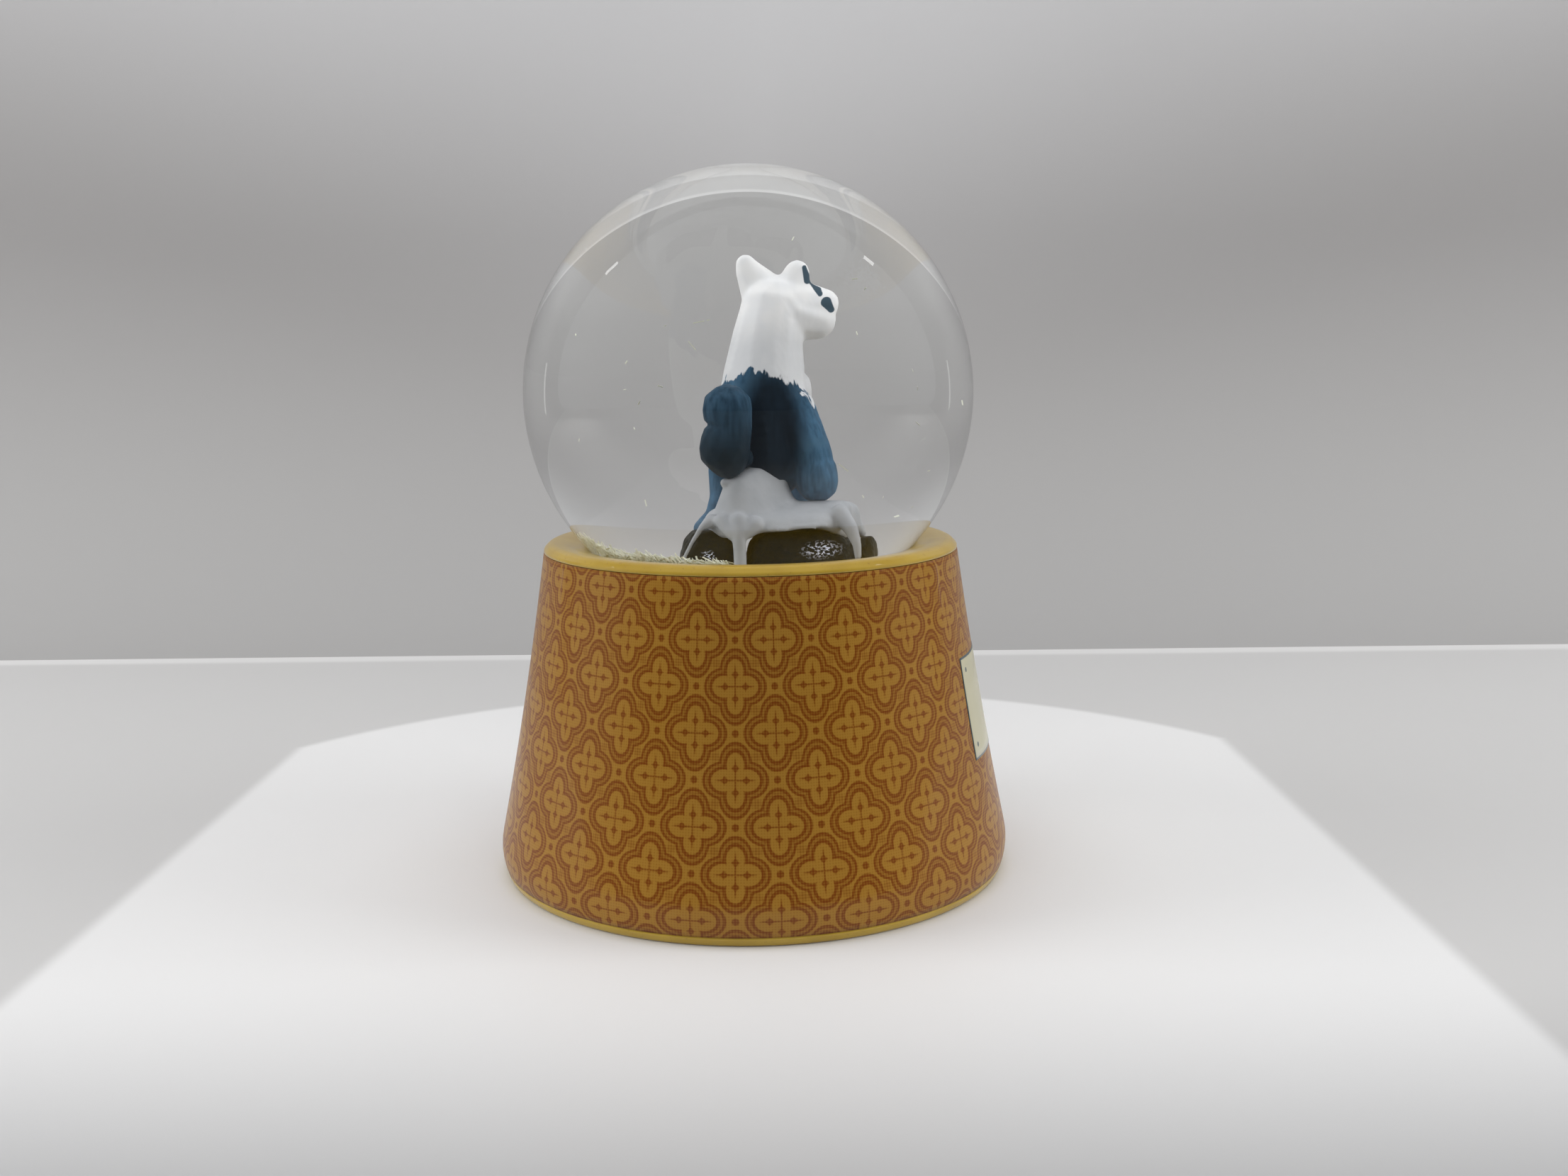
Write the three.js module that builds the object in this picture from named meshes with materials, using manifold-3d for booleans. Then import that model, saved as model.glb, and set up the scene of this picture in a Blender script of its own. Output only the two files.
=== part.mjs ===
// Snow globe: a liquid-filled glass ball with a seated animal inside, cemented into a glossy
// flared base that wears a printed sleeve. Millimetres, +Z up, origin at the centre of the foot.

import * as THREE from 'three';
import { ConvexGeometry } from 'three/addons/geometries/ConvexGeometry.js';
import { mergeVertices } from 'three/addons/utils/BufferGeometryUtils.js';
import Module from 'manifold-3d';

const wasm = await Module();
wasm.setup();

// ---------- driving dimensions ----------
const TURNS = 40; // facets round the large turned pieces
const SMALL_TURNS = 24; // facets round the small ones
const GAP = 0.3; // clearance between touching pieces

const BALL_R = 32.5; // 65 mm glass ball
const BALL_WALL = 1.8;
const BALL_Z = 69.7; // height of the ball's centre
const NECK_R = 20; // open neck under the ball
const NECK_BORE = 18;
const NECK_END_Z = 36;
const NECK_LIP = 0.6; // thickened lip at the neck's end

const FOOT_R = 36.9; // base radii, from the foot up to the rim
const BULGE_R = 38.3;
const KNEE_R = 37.64;
const KNEE_Z = 6;
const WAIST_R = 33.25;
const RIM_R = 30.27;
const RIM_Z = 47.8;
const CROWN_Z = 48.8; // top of the rounded rim
const LEDGE_Z = 47.9; // inner edge of the ledge, beside the glass
const BASE_WALL = 3.4;
const DECK_UNDERSIDE_Z = 43;
const WELL_R = 21.4; // well that takes the neck
const WELL_WALL = 2.6;
const WELL_END_Z = 35.4;
const RECESS_R = 34; // step that takes the closing disc
const RECESS_Z = 3.9;

const FILM = 0.3; // printed sleeve thickness
const SLEEVE_LOW_Z = 1.4;
const SLEEVE_TOP_Z = 47.4;
const LABEL_FROM = 64.5; // degrees from the front (-Y) towards +X
const LABEL_TO = 125.5;
const LABEL_LOW_Z = 18.5;
const LABEL_TOP_Z = 33;

const STOPPER_TOP_Z = 45;
const FLANGE_R = 20;
const FLANGE_TOP_Z = NECK_END_Z - GAP;
const FLANGE_LOW_Z = 33.2;
const FILLER_AT = [-10, 11]; // filler hole, clear of the scenery
const FILLER_R = 2.2;
const PLUG_R = 2;
const PLUG_HEAD_R = 3.4;
const PLUG_TOP_Z = 41;
const PLUG_LOW_Z = 31.4;

const GROUND_R = 17.2; // scenery disc on the stopper
const GROUND_LOW_Z = STOPPER_TOP_Z + GAP;
const GROUND_TOP_Z = 46.6;
const ROCK_TOP_Z = 54.2;
const FLAKES_TOP_Z = 50.2;
const RUFF_Z = 71.6; // height at which the white head and ruff begin

const DISC_THICK = 2;
const FELT_THICK = 1.2;
const FELT_LOW_Z = 0.4;

// ---------- materials ----------
const finish = (color, roughness, metalness = 0, opacity = 1) =>
  new THREE.MeshStandardMaterial({ color, roughness, metalness, opacity, transparent: opacity < 1 });

const yellowGlaze = finish(0xb3973f, 0.2);
const printedFilm = finish(0x9a6a2a, 0.25);
const creamPrint = finish(0xc9c3a4, 0.3);
const clearGlass = finish(0xe8eef0, 0.03, 0, 0.3);
const liquid = finish(0xe4ebee, 0.02, 0, 0.25);
const cement = finish(0xd9d4c2, 0.6);
const rubber = finish(0xd8d5cc, 0.8);
const snowPaint = finish(0xcdd2d6, 0.6);
const rockPaint = finish(0x3b3632, 0.7);
const bluePaint = finish(0x2f5068, 0.55);
const whitePaint = finish(0xd6d8d8, 0.6);
const flakes = finish(0xd9d8c0, 0.5);
const board = finish(0x6f6a60, 0.8);
const felt = finish(0x2f3a33, 0.95);

// ---------- shape helpers ----------
function toGeometry(manifold) {
  const mesh = manifold.getMesh();
  const geometry = new THREE.BufferGeometry();
  geometry.setAttribute('position', new THREE.Float32BufferAttribute(mesh.vertProperties, 3));
  geometry.setIndex([...mesh.triVerts]);
  geometry.computeVertexNormals();
  return geometry;
}

function toManifold(geometry) {
  const bare = geometry.clone();
  bare.deleteAttribute('normal');
  bare.deleteAttribute('uv');
  const merged = mergeVertices(bare, 1e-4);
  return new wasm.Manifold(new wasm.Mesh({
    numProp: 3,
    vertProperties: new Float32Array(merged.attributes.position.array),
    triVerts: new Uint32Array(merged.index.array),
  }));
}

const join = (solids) => solids.reduce((all, solid) => all.add(solid));

// Turned piece about the Z axis; the [radius, height] profile runs with the material on its left.
function turned(profile, segments = TURNS) {
  const points = profile.map(([radius, height]) => new THREE.Vector2(radius, height));
  return new THREE.LatheGeometry(points, segments).rotateX(Math.PI / 2);
}

// Turned ring: the profile closes on itself.
const ring = (profile, segments = TURNS) => turned([...profile, profile[0]], segments);

function disc(radius, lowZ, topZ, segments = TURNS) {
  return turned([[0, lowZ], [radius, lowZ], [radius, topZ], [0, topZ]], segments);
}

function heights(from, to, steps) {
  return Array.from({ length: steps + 1 }, (_, i) => from + (to - from) * i / steps);
}

// Arc of a ball's outline in [radius, height] form, between two heights.
function ballArc(radius, fromZ, toZ, steps) {
  const tilt = (z) => Math.asin(THREE.MathUtils.clamp((z - BALL_Z) / radius, -1, 1));
  return heights(tilt(fromZ), tilt(toZ), steps).map((a) => [
    Math.max(radius * Math.cos(a), 0) < 1e-6 ? 0 : radius * Math.cos(a),
    BALL_Z + radius * Math.sin(a),
  ]);
}

// Height at which a ball of this radius is as narrow as the given ring, below its centre.
const ballZ = (radius, ringR) => BALL_Z - Math.sqrt(radius ** 2 - ringR ** 2);

const blendCurve = (a, b, c, t) => (1 - t) ** 2 * a + 2 * t * (1 - t) * b + t ** 2 * c;

// Outside radius of the base at a height: a rounded foot under a slightly flared cone.
function baseRadius(z) {
  if (z < KNEE_Z) return blendCurve(FOOT_R, BULGE_R, KNEE_R, z / KNEE_Z);
  return blendCurve(KNEE_R, WAIST_R, RIM_R, (z - KNEE_Z) / (RIM_Z - KNEE_Z));
}

// Stretch of the base's outline moved inwards by an inset.
function baseOutline(inset, zList) {
  return zList.map((z) => [baseRadius(z) - inset, z]);
}

// Rounded limb between two balls given as [x, y, z, radius].
function limb(a, b, grow) {
  const corners = [];
  for (const [x, y, z, radius] of [a, b]) {
    const ball = new THREE.IcosahedronGeometry(radius + grow, 1).translate(x, y, z);
    const spots = ball.attributes.position;
    for (let i = 0; i < spots.count; i += 1) {
      corners.push(new THREE.Vector3().fromBufferAttribute(spots, i));
    }
  }
  return toManifold(new ConvexGeometry(corners));
}

// Chain of limbs through a list of balls.
function chain(balls, grow = 0) {
  return join(balls.slice(1).map((ball, i) => limb(balls[i], ball, grow)));
}

function block(low, high) {
  const size = high.map((v, i) => v - low[i]);
  const centre = high.map((v, i) => (v + low[i]) / 2);
  return toManifold(new THREE.BoxGeometry(...size).translate(...centre));
}

// Wedge standing on the Z axis between two bearings, in degrees from -Y towards +X.
function wedge(fromDeg, toDeg, lowZ, topZ) {
  const reach = 60;
  const shape = new THREE.Shape([new THREE.Vector2(0, 0)]);
  for (const bearing of [fromDeg, (fromDeg + toDeg) / 2, toDeg]) {
    const angle = THREE.MathUtils.degToRad(bearing - 90);
    shape.lineTo(reach * Math.cos(angle), reach * Math.sin(angle));
  }
  const settings = { depth: topZ - lowZ, bevelEnabled: false };
  return toManifold(new THREE.ExtrudeGeometry(shape, settings).translate(0, 0, lowZ));
}

// ---------- base ----------
const sleeveHeights = [SLEEVE_LOW_Z, 2.5, 4, KNEE_Z, ...heights(14, 38, 3), SLEEVE_TOP_Z];

function baseCasting() {
  const inset = FILM + GAP;
  const lip = 0.25; // land left above and below the sleeve
  const outside = [
    [FOOT_R, 0],
    [baseRadius(SLEEVE_LOW_Z - lip), SLEEVE_LOW_Z - lip],
    ...baseOutline(inset, sleeveHeights).map(([r, z], i, all) => {
      if (i === 0) return [r, z - lip];
      return i === all.length - 1 ? [r, z + lip] : [r, z];
    }),
    [baseRadius(RIM_Z), SLEEVE_TOP_Z + lip],
    [29.9, 48.3],
    [28.9, CROWN_Z],
    [27.4, CROWN_Z - 0.1],
    [25.6, LEDGE_Z + 0.35],
  ];
  const seat = ballArc(BALL_R + 0.45, LEDGE_Z, ballZ(BALL_R + 0.45, WELL_R), 2);
  const well = [
    [WELL_R, WELL_END_Z],
    [WELL_R + WELL_WALL, WELL_END_Z],
    [WELL_R + WELL_WALL, DECK_UNDERSIDE_Z],
  ];
  const inside = [
    ...baseOutline(BASE_WALL, [DECK_UNDERSIDE_Z, 30, 17, KNEE_Z, RECESS_Z]),
    [RECESS_R, RECESS_Z],
    [RECESS_R, 0],
  ];
  return ring([...outside, ...seat, ...well, ...inside]);
}

function sleeveSolid() {
  const outside = baseOutline(0, sleeveHeights);
  const inside = baseOutline(FILM, sleeveHeights).reverse();
  return toManifold(ring([...outside, ...inside]));
}

function patternSleeve() {
  const margin = 0.5; // degrees, about 0.3 mm at this radius
  const window = wedge(LABEL_FROM - margin, LABEL_TO + margin, LABEL_LOW_Z - GAP, LABEL_TOP_Z + GAP);
  return toGeometry(sleeveSolid().subtract(window));
}

function labelPlate() {
  const piece = wedge(LABEL_FROM, LABEL_TO, LABEL_LOW_Z, LABEL_TOP_Z);
  return toGeometry(sleeveSolid().intersect(piece));
}

function closingDisc() {
  const low = FELT_LOW_Z + FELT_THICK + GAP / 2;
  return disc(RECESS_R - GAP, low, low + DISC_THICK);
}

const feltPad = () => disc(RECESS_R - GAP, FELT_LOW_Z, FELT_LOW_Z + FELT_THICK);

// ---------- globe and its closure ----------
function glassGlobe() {
  const boreTop = ballZ(BALL_R - BALL_WALL, NECK_BORE);
  const neckTop = ballZ(BALL_R, NECK_R);
  const bore = ballArc(BALL_R - BALL_WALL, BALL_Z + BALL_R, boreTop, 12);
  const skin = ballArc(BALL_R, neckTop, BALL_Z + BALL_R, 13);
  const lip = [
    [NECK_BORE, NECK_END_Z],
    [NECK_R + NECK_LIP, NECK_END_Z],
    [NECK_R + NECK_LIP, NECK_END_Z + 0.8],
    [NECK_R, NECK_END_Z + 1.8],
  ];
  return turned([...bore, ...lip, ...skin]);
}

function globeCement() {
  const inner = NECK_R + GAP;
  const outer = WELL_R - GAP;
  return ring([[inner, 38.4], [outer, 38.4], [outer, 44], [inner, 43.4]]);
}

const fillerHole = (lowZ, topZ) =>
  toManifold(disc(FILLER_R, lowZ, topZ, SMALL_TURNS).translate(...FILLER_AT, 0));

function stopper() {
  const plugR = NECK_BORE - GAP;
  const body = toManifold(turned([
    [0, FLANGE_LOW_Z],
    [FLANGE_R, FLANGE_LOW_Z],
    [FLANGE_R, FLANGE_TOP_Z],
    [plugR, FLANGE_TOP_Z],
    [plugR, STOPPER_TOP_Z - 1],
    [plugR - 0.6, STOPPER_TOP_Z],
    [0, STOPPER_TOP_Z],
  ]));
  return toGeometry(body.subtract(fillerHole(FLANGE_LOW_Z - 1, STOPPER_TOP_Z + 1)));
}

function fillerPlug() {
  const shoulderZ = FLANGE_LOW_Z - GAP;
  const profile = [
    [0, PLUG_LOW_Z],
    [PLUG_HEAD_R, PLUG_LOW_Z],
    [PLUG_HEAD_R, shoulderZ],
    [PLUG_R, shoulderZ],
    [PLUG_R, PLUG_TOP_Z - 1],
    [PLUG_R - 0.5, PLUG_TOP_Z],
    [0, PLUG_TOP_Z],
  ];
  return turned(profile, SMALL_TURNS).translate(...FILLER_AT, 0);
}

// ---------- scenery ----------
function sceneryBase() {
  const plate = toManifold(disc(GROUND_R, GROUND_LOW_Z, GROUND_TOP_Z));
  return toGeometry(plate.subtract(fillerHole(GROUND_LOW_Z - 1, GROUND_TOP_Z + 1)));
}

// Boulder: the hull of three rough rings of corners, narrowing towards the top.
function boulder({ at: [x, y], half: [halfX, halfY], lowZ, topZ, corners, narrowing }) {
  const spots = [];
  for (const rise of [0, 0.55, 1]) {
    const z = lowZ + (topZ - lowZ) * rise;
    const shrink = 1 - narrowing * rise ** 2;
    for (let i = 0; i < corners; i += 1) {
      const angle = 2 * Math.PI * (i + rise) / corners;
      const rough = shrink * (1 - 0.05 * ((i * 7) % 3));
      spots.push(new THREE.Vector3(
        x + halfX * rough * Math.cos(angle),
        y + halfY * rough * Math.sin(angle),
        z,
      ));
    }
  }
  return new ConvexGeometry(spots);
}

const WOLF_TRUNK = [
  [2.3, -0.9, 62.4, 4.3], // haunches
  [1.9, 0, 66.6, 4.7],
  [1.55, 0.9, 70.4, 4.85], // shoulders
  [1.95, 1.5, 74.6, 4.15], // ruff
  [2.6, 2, 78.3, 3.65], // back of the head
];
const WOLF_LIMBS = [
  // hind legs, right and left
  [[4, -0.6, 67.6, 3.5], [6.2, -1.9, 63.4, 2.95], [7.55, -2.7, 60.1, 2.5]],
  [[-0.8, 0.4, 65.4, 2.9], [-3.2, 0.4, 61.6, 1.5], [-3.4, -0.2, 58.6, 1.2], [-5.2, -2, 55.7, 1.1]],
  // forelegs, right and left
  [[4.2, 4, 70, 2.6], [4.9, 6.4, 64, 1.8], [5, 7.8, 59, 1.6]],
  [[-0.4, 4, 70, 2.6], [-0.9, 6.4, 64, 1.8], [-1, 7.8, 59, 1.6]],
  // chest
  [[1.8, 3.6, 73.6, 3.4], [1.9, 3.8, 69, 3.6]],
];
const WOLF_HEAD = [
  [[2.6, 2.1, 78.9, 3.55], [3.6, 2.4, 78.7, 3.5], [7.3, 3.2, 77.5, 2.2]], // cheeks and jaw
  [[4.6, 2.4, 79.4, 2.7], [8.15, 3.4, 79.1, 1.62]], // muzzle
  [[1.5, 2.2, 80.6, 2.2], [-0.1, 2.3, 83.3, 1.1]], // left ear
  [[4.8, 2.3, 80.8, 1.9], [5.3, 2.5, 82.5, 1.3]], // right ear
];
const WOLF_TAIL = [
  [-0.7, -4.6, 62.8, 1.3], // root, on the haunches
  [-2.65, -6.9, 63.9, 3], // lower lobe
  [-2.1, -6.9, 66.3, 2.7],
  [-2.3, -6.7, 68.25, 2.95], // upper lobe
];
const DRIPS = [
  [[-1.2, -8.2, 55.6, 1.5], [-1.3, -9.1, 52.8, 0.9], [-1.3, -9.2, 48.4, 0.8]], // between the rocks
  [[10.4, -6.4, 56.2, 1.3], [12, -7.4, 54.2, 1], [13.1, -8.3, 50.4, 0.65]], // at the right end
];

const wolf = (grow) => join([WOLF_TRUNK, ...WOLF_LIMBS, ...WOLF_HEAD].map((part) => chain(part, grow)));
const tail = () => chain(WOLF_TAIL).subtract(wolf(GAP));
const drips = (grow) => join(DRIPS.map((part) => chain(part, grow)));

const wolfBody = () => toGeometry(wolf(0).subtract(block([-30, -30, RUFF_Z - GAP / 2], [30, 30, 100])));

const wolfHead = () => toGeometry(wolf(0).subtract(block([-30, -30, 0], [30, 30, RUFF_Z + GAP / 2])));

const ROCKS = {
  rock_left: { at: [-4.8, -1.6], half: [3.8, 7.4], topZ: ROCK_TOP_Z, corners: 9 },
  rock_main: { at: [5.9, -0.4], half: [6.2, 9], topZ: ROCK_TOP_Z, corners: 11 },
  rock_right: { at: [13.6, 0.4], half: [1.1, 3.2], topZ: ROCK_TOP_Z - 0.6, corners: 7 },
};

function rock({ at, half, topZ, corners }, grow) {
  return toManifold(boulder({
    at,
    half: [half[0] + grow, half[1] + grow],
    lowZ: GROUND_TOP_Z + GAP - grow,
    topZ: topZ + grow,
    corners,
    narrowing: 0.22,
  }));
}

const rockAlone = (name) => toGeometry(rock(ROCKS[name], 0).subtract(drips(GAP)));

const SNOW_LOW_Z = ROCK_TOP_Z + GAP;

// Snow over the rocks: a rough slab with a ridge up to the tail, and drips down the front.
function snowHeap(grow) {
  const slab = boulder({
    at: [3.2, -0.3],
    half: [8.9 + grow, 9.1 + grow],
    lowZ: SNOW_LOW_Z - grow,
    topZ: 57.5 + grow,
    corners: 12,
    narrowing: 0.12,
  });
  const ridge = chain([[2.2, -2.8, 58.4, 3.8], [-0.6, -5, 58.2, 3]], grow);
  const below = block([-30, -30, 0], [30, 30, SNOW_LOW_Z - grow]);
  return toManifold(slab).add(ridge).subtract(below).add(drips(grow));
}

// The largest body of a solid, without the slivers that the legs cut off.
const largest = (solid) => solid.decompose().sort((a, b) => b.volume() - a.volume())[0];

function snowCover() {
  return toGeometry(largest(snowHeap(0).subtract(wolf(GAP)).subtract(chain(WOLF_TAIL, GAP))));
}

// Drift of flakes between the scenery disc and the glass.
function drift(grow) {
  const lowZ = GROUND_TOP_Z + GAP - grow;
  const topZ = FLAKES_TOP_Z + grow;
  const wallR = BALL_R - BALL_WALL - 2 * GAP + grow;
  const outline = [[15.4 - grow, lowZ], ...ballArc(wallR, lowZ, topZ, 3), [18 - grow, topZ]];
  return toManifold(ring(outline)).intersect(wedge(-104, -8, lowZ - 1, topZ + 1));
}

const settledFlakes = () => toGeometry(drift(0));

function liquidFill() {
  const lowZ = GROUND_TOP_Z + GAP;
  const radius = BALL_R - BALL_WALL - GAP;
  const body = toManifold(turned([[0, lowZ], ...ballArc(radius, lowZ, BALL_Z + radius, 10)]));
  const rocks = Object.values(ROCKS).map((item) => rock(item, GAP));
  const scenery = join([...rocks, snowHeap(GAP), wolf(GAP), chain(WOLF_TAIL, GAP), drift(GAP)]);
  return toGeometry(body.subtract(scenery));
}

// ---------- the assembly ----------
const globe = new THREE.Group();

function add(name, geometry, material) {
  const mesh = new THREE.Mesh(geometry, material);
  mesh.name = name;
  globe.add(mesh);
}

add('base_casting', baseCasting(), yellowGlaze);
add('pattern_sleeve', patternSleeve(), printedFilm);
add('label_plate', labelPlate(), creamPrint);
add('closing_disc', closingDisc(), board);
add('felt_pad', feltPad(), felt);
add('glass_globe', glassGlobe(), clearGlass);
add('globe_cement', globeCement(), cement);
add('stopper', stopper(), rubber);
add('filler_plug', fillerPlug(), rubber);
add('liquid_fill', liquidFill(), liquid);
add('scenery_base', sceneryBase(), snowPaint);
add('rock_left', rockAlone('rock_left'), rockPaint);
add('rock_main', rockAlone('rock_main'), rockPaint);
add('rock_right', rockAlone('rock_right'), rockPaint);
add('snow_cover', snowCover(), snowPaint);
add('wolf_body', wolfBody(), bluePaint);
add('wolf_head', wolfHead(), whitePaint);
add('wolf_tail', toGeometry(tail()), bluePaint);
add('settled_flakes', settledFlakes(), flakes);

export default globe;
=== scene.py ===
"""Snow globe: the looks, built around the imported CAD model.

Shapes are worked out in millimetres in the model's own frame and turned into metres when their mesh
is made. Glass and liquid meet in one surface with the ratio of their refractive indices, so what
stands in the liquid is magnified as it is in a real globe.
"""

import math
import random

import bmesh
import bpy
from mathutils import Matrix, Vector, noise


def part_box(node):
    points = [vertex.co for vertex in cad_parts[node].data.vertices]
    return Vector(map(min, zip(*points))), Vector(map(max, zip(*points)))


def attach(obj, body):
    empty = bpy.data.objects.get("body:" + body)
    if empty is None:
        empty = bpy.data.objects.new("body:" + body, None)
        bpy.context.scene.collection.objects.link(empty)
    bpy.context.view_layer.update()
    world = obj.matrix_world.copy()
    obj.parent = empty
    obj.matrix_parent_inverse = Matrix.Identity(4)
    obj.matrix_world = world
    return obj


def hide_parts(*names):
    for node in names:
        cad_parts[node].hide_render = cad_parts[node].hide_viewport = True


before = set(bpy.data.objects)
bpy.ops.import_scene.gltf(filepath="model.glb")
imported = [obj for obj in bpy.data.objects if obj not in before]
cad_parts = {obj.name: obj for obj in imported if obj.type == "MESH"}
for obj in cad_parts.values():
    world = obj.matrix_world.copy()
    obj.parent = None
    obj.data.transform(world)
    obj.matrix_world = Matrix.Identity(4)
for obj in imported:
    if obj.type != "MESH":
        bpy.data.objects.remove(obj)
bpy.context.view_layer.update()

MM = 0.001
BODY = "globe_and_base"


def span(node):
    """Lowest and highest corner of a CAD node, in millimetres."""
    return [Vector(corner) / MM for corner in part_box(node)]


# ---------- sizes, in millimetres ----------
BALL_R = 32.5
BALL_WALL = 1.8
BORE_R = BALL_R - BALL_WALL
BALL_Z = span("glass_globe")[1].z - BALL_R
NECK_R = 20.0
NECK_BORE = 18.0
NECK_END_Z = span("glass_globe")[0].z
GROUND_TOP_Z = span("scenery_base")[1].z
FLAKES_TOP_Z = span("settled_flakes")[1].z

FOOT_R = 36.9
BULGE_R = 38.3
KNEE_R = 37.64
KNEE_Z = 6.0
WAIST_R = 33.25
RIM_R = 30.27
RIM_Z = 47.8
CROWN_Z = span("base_casting")[1].z
BASE_WALL = 3.4
SLEEVE_LOW_Z = span("pattern_sleeve")[0].z
SLEEVE_TOP_Z = span("pattern_sleeve")[1].z
LABEL_LOW_Z = span("label_plate")[0].z
LABEL_TOP_Z = span("label_plate")[1].z
LABEL_FROM = 64.5  # degrees from the front (-Y) towards +X
LABEL_TO = 125.5
FILLER_AT = (span("filler_plug")[0] + span("filler_plug")[1]) / 2

GLASS_IOR = 1.5
LIQUID_IOR = 1.333
WET_GLOSS = 0.1  # specular level of paint in the liquid, whose index nearly matches the paint's
TURNS = 160  # facets round the large turned pieces
TOP_POWER = 3.7  # watts of the hidden soft box above
FRONT_POWER = 1.9  # of the one in front
SIDE_POWER = 1.2  # and of the one on each side

CAMERA_AT = (4.83, -227.8, 78.22)
CAMERA_DOWN = 9.268  # degrees below the horizontal
CAMERA_ROLL = -0.60  # degrees
CAMERA_LENS = 35.64
CAMERA_FRAME = 36.0  # width of the frame behind the lens


# ---------- meshes ----------
def new_piece(name, vertices, faces, smooth=True):
    """A mesh object from corners in millimetres."""
    mesh = bpy.data.meshes.new(name)
    mesh.from_pydata([Vector(v) * MM for v in vertices], [], faces)
    mesh.validate()
    mesh.update()
    mesh.polygons.foreach_set("use_smooth", [smooth] * len(mesh.polygons))
    piece = bpy.data.objects.new(name, mesh)
    bpy.context.scene.collection.objects.link(piece)
    return piece


def dress(piece, materials, replaces=(), body=BODY):
    """Gives a piece its materials and its body, and hides the CAD nodes that it stands for."""
    for material in materials:
        piece.data.materials.append(material)
    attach(piece, body)
    if replaces:
        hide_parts(*replaces)
    return piece


def turned(name, profile, turns=TURNS, at=(0, 0)):
    """A body of revolution. The profile's [radius, height] points run with the material on their left,
    and either start and end on the axis or close on themselves."""
    closed = profile[0][0] > 1e-6
    vertices, rings = [], []
    for radius, height in profile:
        if radius < 1e-6:
            rings.append([len(vertices)] * turns)
            vertices.append((at[0], at[1], height))
            continue
        rings.append(list(range(len(vertices), len(vertices) + turns)))
        for i in range(turns):
            angle = 2 * math.pi * i / turns
            vertices.append((at[0] + radius * math.cos(angle), at[1] + radius * math.sin(angle), height))
    faces = []
    pairs = list(zip(rings, rings[1:])) + ([(rings[-1], rings[0])] if closed else [])
    for low, high in pairs:
        for i in range(turns):
            j = (i + 1) % turns
            corners = [low[i], low[j], high[j], high[i]]
            face = [c for k, c in enumerate(corners) if c not in corners[:k]]
            if len(face) > 2:
                faces.append(face)
    return new_piece(name, vertices, faces)


def rounded(profile, radius, steps=4):
    """The profile with its inner corners rounded to about the given radius."""
    result = [profile[0]]
    for before, corner, after in zip(profile, profile[1:], profile[2:]):
        here, a, b = Vector(corner), Vector(before), Vector(after)
        reach = min(radius, (a - here).length * 0.45, (b - here).length * 0.45)
        start = here + (a - here).normalized() * reach
        end = here + (b - here).normalized() * reach
        for i in range(steps + 1):
            t = i / steps
            result.append(tuple(start * (1 - t) ** 2 + here * 2 * t * (1 - t) + end * t ** 2))
    return result + [profile[-1]]


def heights(low, high, steps):
    """Evenly spaced values from low to high."""
    return [low + (high - low) * i / steps for i in range(steps + 1)]


def ball_arc(radius, from_z, to_z, steps):
    """Part of a ball's outline about the ball's centre."""
    def tilt(z):
        return math.asin(max(-1, min(1, (z - BALL_Z) / radius)))

    arc = []
    for a in heights(tilt(from_z), tilt(to_z), steps):
        arc.append((max(radius * math.cos(a), 0), BALL_Z + radius * math.sin(a)))
    return [(0 if r < 1e-5 else r, z) for r, z in arc]


def ball_z(radius, ring_r):
    """Height below the centre at which a ball is as narrow as a ring."""
    return BALL_Z - math.sqrt(radius ** 2 - ring_r ** 2)


def base_radius(z):
    """Outside radius of the base: a rounded foot under a slightly flared cone."""
    if z < KNEE_Z:
        a, b, c, t = FOOT_R, BULGE_R, KNEE_R, z / KNEE_Z
    else:
        a, b, c, t = KNEE_R, WAIST_R, RIM_R, (z - KNEE_Z) / (RIM_Z - KNEE_Z)
    return (1 - t) ** 2 * a + 2 * t * (1 - t) * b + t ** 2 * c


def base_outline(inset, low, high, steps):
    """Stretch of the base's outline moved inwards by an inset."""
    return [(base_radius(z) - inset, z) for z in heights(low, high, steps)]


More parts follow.
